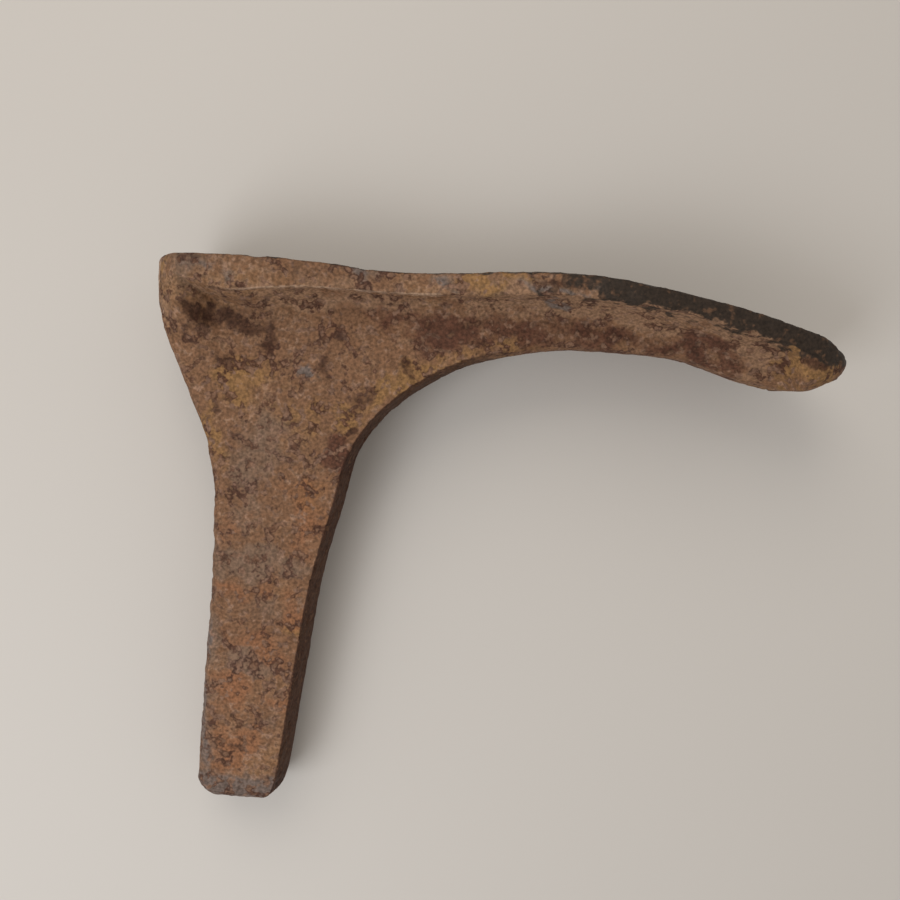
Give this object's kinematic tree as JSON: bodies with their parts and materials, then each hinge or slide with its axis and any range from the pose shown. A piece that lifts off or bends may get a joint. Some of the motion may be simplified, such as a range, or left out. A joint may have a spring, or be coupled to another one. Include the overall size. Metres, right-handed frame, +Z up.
{
  "type": "shoe last",
  "caption": "One-piece cast iron shoe last: a foot-shaped sole on a ribbed arm with a tapered tang, laid on its side",
  "frame": {"origin": "centre of the bounding box in X and Y, at the height of the surface that the last lies on", "axes": "+X runs from the heel to the toe, +Y from the tang to the sole, and +Z is up through the last's thin direction as it lies on its side"},
  "size_m": [0.2476, 0.2004, 0.0663],
  "materials": {
    "cast_iron": "rough rusted casting, pitted, with worn dark patches"
  },
  "bodies": {
    "root": {"shoe_last": "cast_iron"}
  },
  "joints": []
}
